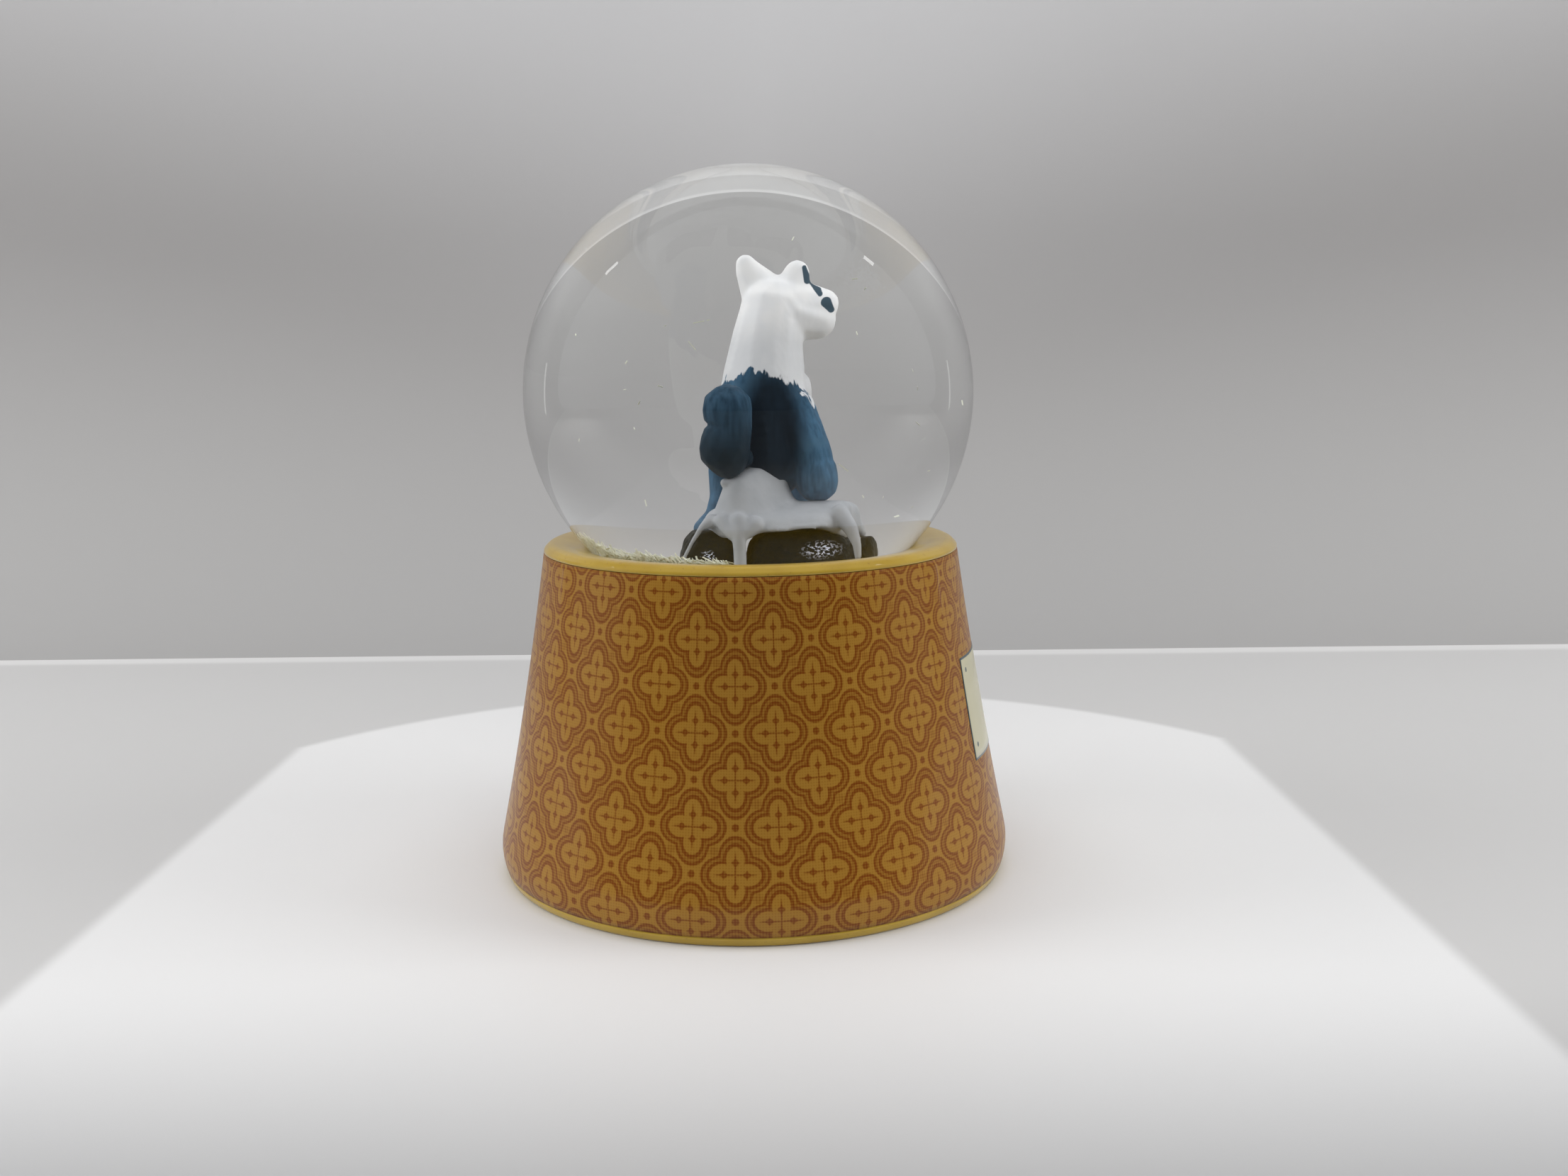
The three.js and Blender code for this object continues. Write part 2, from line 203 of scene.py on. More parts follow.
def sculpt(name, limbs, voxel=0.2, smoothing=6, shape=None, shells=()):
    """One closed skin over chains of balls, each ball (x, y, z, radius) with an optional (sx, sy, sz)
    squash, and over other closed shells (corners, faces). A voxel remesh joins them, then the skin is
    smoothed and moved by shape(corner, normal)."""
    build = bmesh.new()
    for corners, faces in shells:
        added = [build.verts.new(c) for c in corners]
        for face in faces:
            build.faces.new([added[i] for i in face])
    for balls in limbs:
        for first, second in zip(balls, balls[1:]):
            a, b = Vector(first[:3]), Vector(second[:3])
            steps = max(2, math.ceil((a - b).length / (0.3 * min(first[3], second[3]))))
            squash = Vector(first[4] if len(first) > 4 else (1, 1, 1))
            for i in range(steps + 1):
                t = i / steps
                radius = first[3] * (1 - t) + second[3] * t
                place = Matrix.Translation(a.lerp(b, t)) @ Matrix.Diagonal((*squash, 1))
                bmesh.ops.create_icosphere(build, subdivisions=2, radius=radius, matrix=place)
    mesh = bpy.data.meshes.new(name)
    build.to_mesh(mesh)
    build.free()
    rough = bpy.data.objects.new(name + "_rough", mesh)
    bpy.context.scene.collection.objects.link(rough)
    remesh = rough.modifiers.new("skin", "REMESH")
    remesh.mode = "VOXEL"
    remesh.voxel_size = voxel
    soften = rough.modifiers.new("soften", "SMOOTH")
    soften.iterations = smoothing
    soften.factor = 0.5
    graph = bpy.context.evaluated_depsgraph_get()
    skin = bpy.data.meshes.new_from_object(rough.evaluated_get(graph))
    bpy.data.objects.remove(rough)
    corners = [v.co.copy() for v in skin.vertices]
    if shape:
        corners = [shape(v.co.copy(), v.normal.copy()) for v in skin.vertices]
    faces = [list(p.vertices) for p in skin.polygons]
    bpy.data.meshes.remove(skin)
    return new_piece(name, corners, faces)


# ---------- materials ----------
class Paint:
    """A small helper that builds one Principled material from nodes."""

    def __init__(self, name, roughness=0.5, **sockets):
        self.material = bpy.data.materials.new(name)
        self.material.use_nodes = True
        self.nodes = self.material.node_tree.nodes
        self.links = self.material.node_tree.links
        self.nodes.clear()
        self.shader = self.nodes.new("ShaderNodeBsdfPrincipled")
        out = self.nodes.new("ShaderNodeOutputMaterial")
        self.links.new(self.shader.outputs[0], out.inputs["Surface"])
        self.shader.inputs["Roughness"].default_value = roughness
        for key, value in sockets.items():
            self.shader.inputs[key.replace("_", " ").title().replace("Ior", "IOR")].default_value = value

    def feed(self, value, socket):
        """Links a socket or sets a number or colour."""
        if isinstance(value, bpy.types.NodeSocket):
            self.links.new(value, socket)
        else:
            socket.default_value = value

    def set(self, name, value):
        """Feeds one input of the shader."""
        self.feed(value, self.shader.inputs[name])

    def place(self):
        """Position on the piece, in metres."""
        return self.nodes.new("ShaderNodeTexCoord").outputs["Object"]

    def math(self, operation, *values):
        """One sum on numbers or sockets."""
        node = self.nodes.new("ShaderNodeMath")
        node.operation = operation
        for value, socket in zip(values, node.inputs):
            self.feed(value, socket)
        return node.outputs[0]

    def limit(self, value):
        """The value held between 0 and 1."""
        return self.math("MINIMUM", self.math("MAXIMUM", value, 0.0), 1.0)

    def less(self, value):
        """One minus the value."""
        return self.math("SUBTRACT", 1.0, value)

    def length(self, first, second):
        """Length of the vector with these two parts."""
        square = self.math("MULTIPLY", first, first)
        return self.math("SQRT", self.math("MULTIPLY_ADD", second, second, square))

    def split(self, vector):
        """The x, y and z of a vector."""
        node = self.nodes.new("ShaderNodeSeparateXYZ")
        self.links.new(vector, node.inputs[0])
        return node.outputs[0], node.outputs[1], node.outputs[2]

    def millimetres(self):
        """Position on the piece as three values in millimetres."""
        return self.split(self.scaled(self.place(), [1 / MM] * 3))

    def scaled(self, vector, scale):
        """A vector times a scale, part by part."""
        node = self.nodes.new("ShaderNodeVectorMath")
        node.operation = "MULTIPLY"
        self.links.new(vector, node.inputs[0])
        node.inputs[1].default_value = scale
        return node.outputs[0]

    def noise(self, size, detail=3.0, vector=None, stretch=(1, 1, 1)):
        """Noise between 0 and 1 whose features are about size millimetres."""
        node = self.nodes.new("ShaderNodeTexNoise")
        scale = 1 / (size * MM)
        source = vector if vector is not None else self.place()
        self.links.new(self.scaled(source, [scale * s for s in stretch]), node.inputs["Vector"])
        node.inputs["Scale"].default_value = 1.0
        node.inputs["Detail"].default_value = detail
        return node.outputs["Fac"]

    def step(self, value, low, high):
        """0 below low, 1 above high and a smooth ramp between."""
        node = self.nodes.new("ShaderNodeMapRange")
        node.interpolation_type = "SMOOTHSTEP"
        self.feed(value, node.inputs["Value"])
        node.inputs["From Min"].default_value = low
        node.inputs["From Max"].default_value = high
        return node.outputs["Result"]

    def mix(self, share, first, second):
        """The first colour at 0, the second at 1."""
        node = self.nodes.new("ShaderNodeMix")
        node.data_type = "RGBA"
        self.feed(share, node.inputs["Factor"])
        colour_sockets = [s for s in node.inputs if s.type == "RGBA"]
        for value, socket in zip((first, second), colour_sockets):
            if not isinstance(value, bpy.types.NodeSocket):
                value = (*value, 1.0)
            self.feed(value, socket)
        return next(s for s in node.outputs if s.type == "RGBA")

    def bump(self, height, depth, strength=1.0):
        """Bump whose full height stands for depth millimetres."""
        node = self.nodes.new("ShaderNodeBump")
        node.inputs["Distance"].default_value = depth * MM
        node.inputs["Strength"].default_value = strength
        self.links.new(height, node.inputs["Height"])
        self.links.new(node.outputs[0], self.shader.inputs["Normal"])


def clear_material(name, ior, light, dark, waviness=0.0):
    """Clear glass or liquid with a faint uneven tint and, on glass, the slight waviness of a blown ball."""
    paint = Paint(name, roughness=0.0, transmission_weight=1.0, ior=ior)
    paint.set("Base Color", paint.mix(paint.noise(14, 2), light, dark))
    if waviness:
        paint.bump(paint.noise(16, 1), waviness)
    return paint.material


def glaze_yellow():
    """Glossy cast resin with a slightly uneven yellow coat."""
    paint = Paint("yellow_glaze", roughness=0.35, specular_ior_level=0.3, coat_weight=0.6,
                  coat_roughness=0.05)
    cloud = paint.noise(7, 3)
    fleck = paint.noise(0.5, 2)
    tone = paint.mix(paint.step(cloud, 0.35, 0.7), (0.46, 0.305, 0.036), (0.41, 0.262, 0.028))
    tone = paint.mix(paint.step(fleck, 0.62, 0.8), tone, (0.34, 0.20, 0.03))
    paint.set("Base Color", tone)
    paint.bump(paint.noise(3.5, 2), 0.06, 0.5)
    return paint.material


def printed_tracery():
    """Printed ochre ground with a brown tracery of interlocked four-lobed figures, under lacquer."""
    half_pitch = math.pi / 20  # twenty figures round the base
    row = 5.95  # millimetres between rows
    first_row_z = 9.7
    turn = math.radians(-2.8)
    dot_mesh = 0.36  # millimetres between the print's dots
    mean_r = 34.0

    paint = Paint("printed_tracery", roughness=0.42, specular_ior_level=0.15, coat_weight=0.28,
                  coat_roughness=0.07)
    x, y, z = paint.split(paint.place())
    bearing = paint.math("ARCTAN2", x, paint.math("MULTIPLY", y, -1.0))
    across = paint.math("DIVIDE", paint.math("SUBTRACT", bearing, turn), half_pitch)
    up = paint.math("DIVIDE", paint.math("SUBTRACT", z, first_row_z * MM), row * MM)
    p = paint.math("ABSOLUTE", paint.math("WRAP", across, 1.0, -1.0))
    q = paint.math("ABSOLUTE", paint.math("WRAP", up, 1.0, -1.0))

    def reach(p, q, at, size=(1, 1)):
        """Distance from a spot in units of a size, across and up."""
        dp = paint.math("DIVIDE", paint.math("SUBTRACT", p, at[0]), size[0])
        dq = paint.math("DIVIDE", paint.math("SUBTRACT", q, at[1]), size[1])
        return paint.length(dp, dq)

    def line(distance, at, half_width, soft=0.03):
        """1 on a line drawn where the distance has a value."""
        off = paint.math("ABSOLUTE", paint.math("SUBTRACT", distance, at))
        return paint.limit(paint.math("DIVIDE", paint.math("SUBTRACT", half_width + soft / 2, off), soft))

    def inside(distance, size, soft=0.03):
        """1 where the distance is less than a size."""
        return paint.limit(paint.math("DIVIDE", paint.math("SUBTRACT", size, distance), soft))

    def figure(p, q):
        """Ink of one figure: a double outline round four lobes, a cross of buds and corner dots."""
        side = paint.math("SUBTRACT", reach(p, q, (0.29, 0), (0.335, 0.27)), 1.0)
        side = paint.math("MULTIPLY", side, 0.32)
        tall = paint.math("SUBTRACT", reach(p, q, (0, 0.33), (0.25, 0.31)), 1.0)
        tall = paint.math("MULTIPLY", tall, 0.27)
        edge = paint.math("SMOOTH_MIN", side, tall, 0.05)
        ink = paint.math("MAXIMUM", line(edge, 0.0, 0.042), line(edge, 0.13, 0.036))
        ink = paint.math("MAXIMUM", ink, paint.math("MULTIPLY", line(edge, 0.065, 0.065), 0.5))
        for along, aside in ((p, q), (q, p)):
            hair = paint.math("MULTIPLY", inside(aside, 0.03, 0.02), inside(along, 0.52, 0.12))
            ink = paint.math("MAXIMUM", ink, paint.math("MULTIPLY", hair, 0.8))
            off = paint.math("ABSOLUTE", paint.math("SUBTRACT", along, 0.26))
            bud = paint.math("MULTIPLY_ADD", paint.math("SQRT", aside), 0.5, off)
            ink = paint.math("MAXIMUM", ink, inside(bud, 0.18, 0.05))
        dot = paint.math("MULTIPLY", inside(reach(p, q, (0.30, 0.33)), 0.06, 0.035), 0.7)
        return paint.math("MAXIMUM", ink, dot)

    mirrored_p, mirrored_q = paint.less(p), paint.less(q)
    ink = paint.math("MAXIMUM", figure(p, q), figure(mirrored_p, mirrored_q))
    for spot in ((1.0, 0.0), (0.0, 1.0)):
        ink = paint.math("MAXIMUM", ink, inside(reach(p, q, spot), 0.1, 0.035))
    crossing = inside(reach(p, q, (0.5, 0.5)), 0.16, 0.1)
    ink = paint.math("MAXIMUM", ink, paint.math("MULTIPLY", crossing, 0.45))

    around = paint.math("SINE", paint.math("MULTIPLY", bearing, 2 * math.pi * mean_r / dot_mesh))
    upward = paint.math("SINE", paint.math("MULTIPLY", z, 2 * math.pi / (dot_mesh * MM)))
    wave = paint.math("ADD", around, upward)
    grain = paint.math("MULTIPLY_ADD", wave, 0.16, paint.math("MULTIPLY", paint.noise(0.3, 2), 0.3))
    grain = paint.math("SUBTRACT", grain, 0.13)
    ink = paint.limit(paint.math("ADD", paint.math("MULTIPLY", ink, 0.85), grain))
    ground = paint.mix(paint.noise(9, 2), (0.355, 0.181, 0.026), (0.32, 0.157, 0.018))
    paint.set("Base Color", paint.mix(ink, ground, (0.165, 0.037, 0.001)))
    paint.bump(paint.noise(5, 2), 0.05, 0.35)
    return paint.material


def cream_label():
    """Blank cream plate with a thin dark outline and a small printed rivet in each corner."""
    paint = Paint("cream_label", roughness=0.42, coat_weight=0.5, coat_roughness=0.07)
    x, y, z = paint.split(paint.place())
    bearing = paint.math("ARCTAN2", x, paint.math("MULTIPLY", y, -1.0))
    middle = math.radians((LABEL_FROM + LABEL_TO) / 2)
    half_arc = math.radians((LABEL_TO - LABEL_FROM) / 2)
    mean_r = base_radius((LABEL_LOW_Z + LABEL_TOP_Z) / 2)
    off = paint.math("ABSOLUTE", paint.math("SUBTRACT", bearing, middle))
    side = paint.math("MULTIPLY", paint.math("SUBTRACT", half_arc, off), mean_r)
    rise = paint.math("ABSOLUTE", paint.math("SUBTRACT", paint.math("DIVIDE", z, MM),
                                             (LABEL_LOW_Z + LABEL_TOP_Z) / 2))
    end = paint.math("SUBTRACT", (LABEL_TOP_Z - LABEL_LOW_Z) / 2, rise)
    border = paint.math("MINIMUM", side, end)
    outline = paint.less(paint.step(border, 0.22, 0.34))
    dx = paint.math("SUBTRACT", side, 1.9)
    dz = paint.math("SUBTRACT", end, 1.9)
    rivet = paint.length(dz, dx)
    ring = paint.less(paint.step(rivet, 0.3, 0.42))
    tone = paint.mix(paint.noise(6, 3), (0.55, 0.52, 0.36), (0.47, 0.44, 0.29))
    tone = paint.mix(paint.math("MAXIMUM", outline, ring), tone, (0.06, 0.085, 0.10))
    paint.set("Base Color", tone)
    return paint.material


def plain(name, light, dark, size, roughness, depth=0.05, detail=3.0, **sockets):
    """Two-tone clouded paint with a fine grain."""
    paint = Paint(name, roughness=roughness, **sockets)
    paint.set("Base Color", paint.mix(paint.step(paint.noise(size, detail), 0.35, 0.68), light, dark))
    paint.bump(paint.noise(size * 0.3, 4), depth, 0.6)
    return paint.material


# ---------- base ----------
def make_base():
    """Cast base: yellow foot, recess for the sleeve, rim, dished seat for the ball and hollow inside."""
    lip = 0.12
    outside = [(FOOT_R - 0.35, 0), (FOOT_R - 0.08, 0.1)]
    outside += base_outline(0, 0.25, SLEEVE_LOW_Z - lip, 3)
    outside += base_outline(0.4, SLEEVE_LOW_Z, SLEEVE_TOP_Z, 40)
    outside += [(base_radius(SLEEVE_TOP_Z) - 0.02, SLEEVE_TOP_Z + lip)]
    rim = rounded([outside[-1], (base_radius(RIM_Z), RIM_Z + 0.1), (29.6, CROWN_Z - 0.2),
                   (28.9, CROWN_Z), (27.2, CROWN_Z - 0.1), (25.2, CROWN_Z - 0.65)], 0.8, 5)[1:]
    seat_r, hole_r = BALL_R + 0.12, 21.4
    seat = ball_arc(seat_r, CROWN_Z - 0.95, ball_z(seat_r, hole_r), 10)
    collar_r, collar_z, ceiling_z = 24, 35.4, 43
    hollow = rounded([seat[-1], (hole_r, collar_z), (collar_r, collar_z), (collar_r, ceiling_z),
                      (base_radius(ceiling_z) - BASE_WALL, ceiling_z)], 0.6, 3)[1:]
    recess_r, recess_z = 34, 3.9
    hollow += base_outline(BASE_WALL, ceiling_z - 1, recess_z, 14)
    hollow += [(recess_r, recess_z), (recess_r, 0.2), (recess_r + 0.2, 0)]
    base = turned("base_body", outside + rim + seat + hollow)
    dress(base, [glaze_yellow()], ["base_casting"])


def make_sleeve():
    """Printed sleeve in the base's recess."""
    profile = base_outline(0, SLEEVE_LOW_Z, SLEEVE_TOP_Z, 60)
    profile += base_outline(0.3, SLEEVE_LOW_Z, SLEEVE_TOP_Z, 60)[::-1]
    dress(turned("printed_sleeve", profile), [printed_tracery()], ["pattern_sleeve"])


def make_label():
    """A curved plate lying on the sleeve."""
    across, rise = 48, 12
    corners, faces = [], []
    for proud in (0.07, -0.15):
        for j in range(rise + 1):
            z = LABEL_LOW_Z + (LABEL_TOP_Z - LABEL_LOW_Z) * j / rise
            for i in range(across + 1):
                bearing = math.radians(LABEL_FROM + (LABEL_TO - LABEL_FROM) * i / across)
                radius = base_radius(z) + proud
                corners.append((radius * math.sin(bearing), -radius * math.cos(bearing), z))
    row, layer = across + 1, (across + 1) * (rise + 1)
    for j in range(rise):
        for i in range(across):
            a = j * row + i
            faces.append([a, a + 1, a + row + 1, a + row])
            faces.append([a + layer + row, a + layer + row + 1, a + layer + 1, a + layer])
    border = [i for i in range(across)] + [j * row + across for j in range(rise)]
    border += [rise * row + i for i in range(across, 0, -1)] + [j * row for j in range(rise, 0, -1)]
    for a, b in zip(border, border[1:] + border[:1]):
        faces.append([b, a, a + layer, b + layer])
    dress(new_piece("blank_label", corners, faces), [cream_label()], ["label_plate"])


def make_underside():
    """Felt pad and the board that it is glued to."""
    low, high = span("felt_pad")
    profile = rounded([(0, low.z), (high.x, low.z), (high.x, high.z), (0, high.z)], 0.4)
    felt = plain("felt", (0.022, 0.032, 0.026), (0.012, 0.018, 0.014), 1.2, 0.95, 0.25, 6.0,
                 sheen_weight=0.4)
    dress(turned("felt_disc", profile), [felt], ["felt_pad"])
    low, high = span("closing_disc")
    profile = rounded([(0, low.z), (high.x, low.z), (high.x, high.z), (0, high.z)], 0.2)
    board = plain("grey_board", (0.24, 0.19, 0.13), (0.17, 0.13, 0.09), 2.0, 0.9, 0.06)
    dress(turned("board_disc", profile), [board], ["closing_disc"])


# ---------- globe ----------
def make_globe():
    """Glass ball with its neck. The part of its bore that the liquid wets has its own material."""
    bore = ball_arc(BORE_R, BALL_Z + BORE_R, ball_z(BORE_R, NECK_BORE), 90)
    lip_r = NECK_R + 0.6
    lip = rounded([bore[-1], (NECK_BORE, NECK_END_Z), (lip_r, NECK_END_Z), (lip_r, NECK_END_Z + 0.8),
                   (NECK_R, NECK_END_Z + 1.8), (NECK_R, ball_z(BALL_R, NECK_R))], 0.4)[1:]
    skin = ball_arc(BALL_R, ball_z(BALL_R, NECK_R), BALL_Z + BALL_R, 90)[1:]
    globe = turned("glass_ball", bore + lip + skin)
    tints = (1.0, 1.0, 1.0), (0.985, 0.99, 0.99)
    dress(globe, [clear_material("glass_in_air", GLASS_IOR, *tints, waviness=0.01),
                  clear_material("glass_on_liquid", GLASS_IOR / LIQUID_IOR, *tints)],
          ["glass_globe"])
    for face in globe.data.polygons:
        centre = face.center / MM
        on_bore = (centre - Vector((0, 0, BALL_Z))).dot(face.normal) < 0
        if on_bore and centre.z > GROUND_TOP_Z:
            face.material_index = 1
    clear_of_light(globe)


def clear_of_light(piece):
    """Lets lamplight and soft light pass a clear piece, so that the scene inside is lit."""
    piece.visible_shadow = False
    piece.visible_diffuse = False


def make_liquid():
    """The liquid. It takes no part in the optics, because the wetted bore already bends the light."""
    profile = [(0, GROUND_TOP_Z + 0.1)] + ball_arc(BORE_R - 0.03, GROUND_TOP_Z + 0.1, BALL_Z + BORE_R, 80)
    profile[-1] = (0, BALL_Z + BORE_R - 0.03)
    liquid = turned("liquid", profile)
    water = clear_material("clear_liquid", 1.0, (1.0, 1.0, 1.0), (0.985, 0.99, 0.985))
    dress(liquid, [water], ["liquid_fill"])
    clear_of_light(liquid)


def make_closure():
    """Stopper, adhesive ring and filler plug, out of sight under the scene. The filler hole is not
    drawn, so the plug's shank stands in solid rubber at rest."""
    rubber = plain("rubber", (0.62, 0.60, 0.55), (0.52, 0.50, 0.46), 3.0, 0.75, 0.04)
    low, high = span("stopper")
    plug_r = NECK_BORE - 0.3
    profile = [(0, low.z), (high.x, low.z), (high.x, NECK_END_Z - 0.3), (plug_r, NECK_END_Z - 0.3),
               (plug_r, high.z), (0, high.z)]
    dress(turned("rubber_stopper", rounded(profile, 0.6)), [rubber], ["stopper"])
    low, high = span("globe_cement")
    cement = plain("cement", (0.66, 0.62, 0.52), (0.56, 0.52, 0.42), 2.0, 0.6, 0.1)
    ring = [(NECK_R + 0.1, low.z), (high.x, low.z + 0.3), (high.x, high.z - 0.4), (NECK_R + 0.1, high.z)]
    dress(turned("cement_ring", ring), [cement], ["globe_cement"])
    low, high = span("filler_plug")
    head_r, shank_r, shoulder = (high.x - low.x) / 2, 2.0, low.z + 1.5
    profile = [(0, low.z), (head_r, low.z), (head_r, shoulder), (shank_r, shoulder),
               (shank_r, high.z), (0, high.z)]
    plug = turned("rubber_bung", rounded(profile, 0.5), 48, FILLER_AT[:2])
    dress(plug, [rubber], ["filler_plug"], "plug")


# ---------- scenery ----------
def smooth(value, low, high):
    """0 below low, 1 above high and a smooth ramp between."""
    t = max(0.0, min(1.0, (value - low) / (high - low)))
    return t * t * (3 - 2 * t)


def rough_disc(name, radius, low, high, bump):
    """A flat cake with an uneven top."""
    rings, turns = 22, 120
    corners, faces = [(0, 0, high)], []
    for j in range(1, rings + 1):
        t = j / rings
        for i in range(turns):
            a = 2 * math.pi * i / turns
            x, y = radius * t * math.cos(a), radius * t * math.sin(a)
            drop = 0.35 * smooth(t, 0.94, 1.0)
            corners.append((x, y, high - drop - bump * (0.5 + 0.5 * noise.noise(Vector((x, y, 0)) * 0.45))))
    for i in range(turns):
        a = 2 * math.pi * i / turns
        corners.append((radius * math.cos(a), radius * math.sin(a), low))
    corners.append((0, 0, low))
    for i in range(turns):
        k = (i + 1) % turns
        faces.append([0, 1 + i, 1 + k])
        for j in range(rings):
            a, b = 1 + j * turns, 1 + (j + 1) * turns
            faces.append([a + i, b + i, b + k, a + k])
        faces.append([1 + rings * turns + k, 1 + rings * turns + i, len(corners) - 1])
    return new_piece(name, corners, faces)


def make_ground():
    """White disc on the stopper."""
    low, high = span("scenery_base")
    paint = plain("ground_paint", (0.66, 0.67, 0.66), (0.52, 0.53, 0.52), 1.5, 0.6, 0.15,
                  specular_ior_level=WET_GLOSS)
    dress(rough_disc("ground", high.x, low.z, high.z, 0.25), [paint], ["scenery_base"])


def rock_paint():
    """Near-black rock with two clusters of pale mica flecks on its front."""
    paint = Paint("rock_paint", roughness=0.5, specular_ior_level=WET_GLOSS)
    tone = paint.mix(paint.noise(1.6, 5), (0.0045, 0.0115, 0.0185), (0.0018, 0.0065, 0.0115))
    wear = paint.step(paint.noise(0.5, 4), 0.62, 0.78)
    tone = paint.mix(paint.math("MULTIPLY", wear, 0.5), tone, (0.045, 0.05, 0.055))
    x, y, z = paint.millimetres()
    strength = 0.0
    for at, reach in (((8.5, 51.7), (3.0, 1.5)), ((-4.8, 51.2), (1.2, 0.9))):
        dx = paint.math("DIVIDE", paint.math("SUBTRACT", x, at[0]), reach[0])
        dz = paint.math("DIVIDE", paint.math("SUBTRACT", z, at[1]), reach[1])
        away = paint.length(dz, dx)
        strength = paint.math("MAXIMUM", strength, paint.less(paint.step(away, 0.3, 1.0)))
    in_front = paint.math("LESS_THAN", y, -4.0)
    flecks = paint.step(paint.noise(0.38, 3, stretch=(1, 1, 1.6)), 0.50, 0.59)
    share = paint.math("MULTIPLY", paint.math("MULTIPLY", strength, in_front), flecks)
    paint.set("Base Color", paint.mix(share, tone, (0.80, 0.84, 1.0)))
    paint.bump(paint.noise(0.9, 6), 0.35, 0.8)
    return paint.material


def boulder(name, at, half, low, high, lean, seed):
    """A weathered rock: a rounded block, narrower above, worn by noise."""
    build = bmesh.new()
    bmesh.ops.create_icosphere(build, subdivisions=5, radius=1)
    build.verts.ensure_lookup_table()
    corners = []
    for v in build.verts:
        d = v.co
        block = (abs(d.x) ** 4.4 + abs(d.y) ** 4.4 + abs(d.z) ** 4.4) ** (-1 / 4.4)
        p = d * block
        rise = (p.z + 1) / 2
        narrow = 1 - 0.24 * rise ** 1.6
        spot = Vector((p.x * half[0], p.y * half[1], rise * (high - low)))
        wear = 0.5 * noise.noise(spot * 0.35 + Vector((seed, 0, 0))) + 0.28 * noise.noise(spot * 1.1)
        crack = abs(noise.noise(spot * 0.6 + Vector((0, seed, 0))))
        out = 1 + (wear * 0.9 - max(0, 0.12 - crack) * 2.2) / max(half)
        corners.append((at[0] + spot.x * narrow * out + lean * rise, at[1] + spot.y * narrow * out,
                        min(high, low + spot.z + 0.4 * wear * rise)))
    faces = [[v.index for v in f.verts] for f in build.faces]
    build.free()
    return new_piece(name, corners, faces)


def make_rocks():
    """Three worn rocks side by side."""
    paint = rock_paint()
    for name, at, half, top, lean, seed in (
            ("rock_left", (-4.9, -1.6), (3.9, 7.4), 55.0, 0.9, 3.0),
            ("rock_main", (5.8, -0.4), (7.05, 8.9), 54.8, -0.2, 7.0),
            ("rock_right", (13.6, 0.4), (1.15, 3.2), 53.9, -0.7, 11.0)):
        low = span(name)[0].z
        rock = boulder(name + "_worn", at, half, low, top, lean, seed)
        dress(rock, [paint], [name])


def snow_height(x, y):
    """Top of the snow before its rim is rounded: a shelf that falls to the front, and a ridge that
    runs from the summit to the tail."""
    shelf = 57.9 - 2.5 * max(0.0, (-3.5 - y) / 5.5) ** 1.3 - 0.06 * max(0.0, y) ** 1.3
    shelf -= 0.3 * max(0.0, -1.5 - x)
    a, b = Vector((2.2, -2.9)), Vector((-1.3, -5.8))
    p = Vector((x, y))
    t = max(0.0, min(1.0, (p - a).dot(b - a) / (b - a).length_squared))
    away = (p - a.lerp(b, t)).length
    return shelf + (4.3 - 0.45 * t) * (1 - smooth(away, 0.85, 3.2))


def snow_shell():
    """Snow cake in polar rows: top, rounded rim, wavy lower edge, underside."""
    centre, turns = (3.2, -0.3), 128
    half_x, half_y = 8.5, 8.9
    rows = []

    def reach(angle):
        """Half width of the cake at an angle, with a wavy edge."""
        c, s = abs(math.cos(angle)) / half_x, abs(math.sin(angle)) / half_y
        return (c ** 3 + s ** 3) ** (-1 / 3) + 0.22 * math.sin(5 * angle + 1) + 0.14 * math.sin(11 * angle)

    angles = [2 * math.pi * i / turns for i in range(turns)]
    for t in (0.08, 0.16, 0.24, 0.32, 0.4, 0.48, 0.56, 0.64, 0.72, 0.8, 0.86, 0.91, 0.95, 0.98, 1.0):
        points = []
        for a in angles:
            x, y = centre[0] + reach(a) * t * math.cos(a), centre[1] + reach(a) * t * math.sin(a)
            fall = 1 - math.sqrt(max(0.0, 1 - max(0.0, (t - 0.84) / 0.16) ** 2))
            points.append((x, y, snow_height(x, y) - 1.3 * fall))
        rows.append(points)
    for t, rise in ((1.0, 0.5), (0.975, 0.15), (0.93, 0.0), (0.86, 0.2)):
        points = []
        for a in angles:
            wave = 0.45 * math.sin(4 * a + 0.4) + 0.25 * math.sin(7 * a + 2)
            x, y = centre[0] + reach(a) * t * math.cos(a), centre[1] + reach(a) * t * math.sin(a)
            points.append((x, y, 54.0 + wave + rise))
        rows.append(points)
    corners = [p for points in rows for p in points] + [(*centre, snow_height(*centre)), (*centre, 54.6)]
    faces = []
    for i in range(turns):
        k = (i + 1) % turns
        faces.append([i, k, len(corners) - 2])
        for j in range(len(rows) - 1):
            a, b = j * turns, (j + 1) * turns
            faces.append([b + i, b + k, a + k, a + i])
        last = (len(rows) - 1) * turns
        faces.append([last + k, last + i, len(corners) - 1])
    return corners, faces


